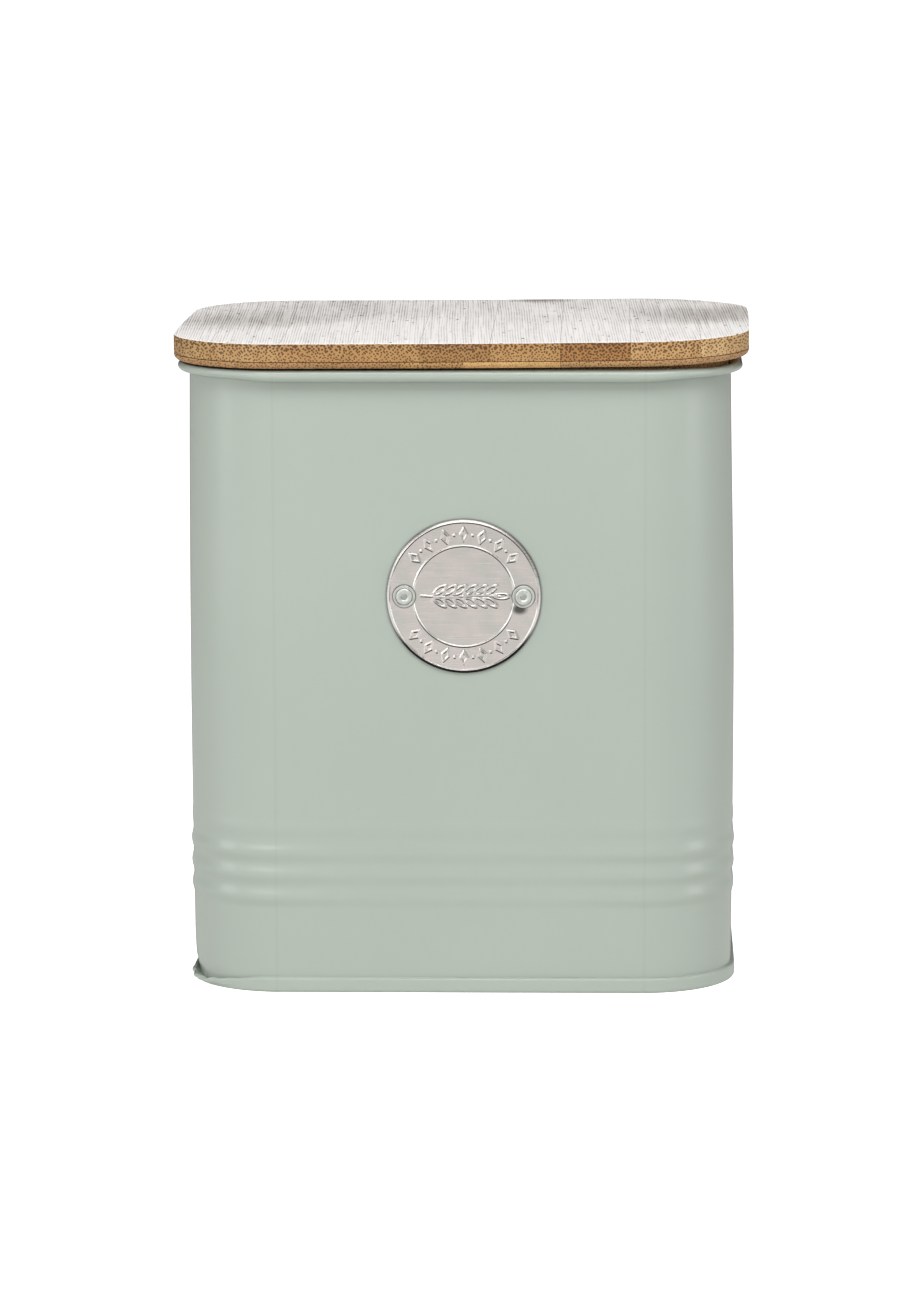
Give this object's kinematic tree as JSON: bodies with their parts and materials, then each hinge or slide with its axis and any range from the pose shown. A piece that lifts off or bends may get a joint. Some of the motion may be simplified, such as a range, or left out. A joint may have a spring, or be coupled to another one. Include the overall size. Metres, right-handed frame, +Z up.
{
  "type": "kitchen storage canister",
  "caption": "Tall rounded-rectangular painted tin for dry food, with a rolled rim, swaged beads, a riveted badge and a lift-off bamboo lid with a seal.",
  "frame": {"origin": "centre of the base, on the plane the canister stands on", "axes": "+Z up through the lid, -Y towards the badged front, +X to the right seen from the front, +Y to the back"},
  "size_m": [0.175, 0.13, 0.1993],
  "materials": {
    "enamel": "satin sage green baked enamel",
    "badge": "fine horizontal brushing",
    "rivet": "plain satin",
    "rivet_pin": "plain",
    "limed_bamboo": "lime-washed face, sealed edge",
    "bamboo": "sealed caramel bamboo",
    "silicone": "translucent white silicone"
  },
  "bodies": {
    "canister": {"body_wall": "enamel", "base_pan": "enamel", "badge_plate": "badge", "rivet_left": "rivet", "rivet_right": "rivet", "rivet_pin_left": "rivet_pin", "rivet_pin_right": "rivet_pin"},
    "lid": {"lid_top_strip_1": "limed_bamboo", "lid_top_strip_2": "limed_bamboo", "lid_top_strip_3": "limed_bamboo", "lid_top_strip_4": "limed_bamboo", "lid_top_strip_5": "limed_bamboo", "lid_top_strip_6": "limed_bamboo", "lid_top_strip_7": "limed_bamboo", "lid_top_strip_8": "limed_bamboo", "lid_top_strip_9": "limed_bamboo", "lid_under_strip_1": "bamboo", "lid_under_strip_2": "bamboo", "lid_under_strip_3": "bamboo", "lid_under_strip_4": "bamboo", "lid_under_strip_5": "bamboo", "lid_under_strip_6": "bamboo", "lid_under_strip_7": "bamboo", "lid_plug": "bamboo", "lid_seal": "silicone"}
  },
  "joints": [
    {"name": "lid_lift", "type": "slide", "parent": "canister", "child": "lid", "axis": [0, 0, 1], "range_m": [0, 0.08]}
  ]
}
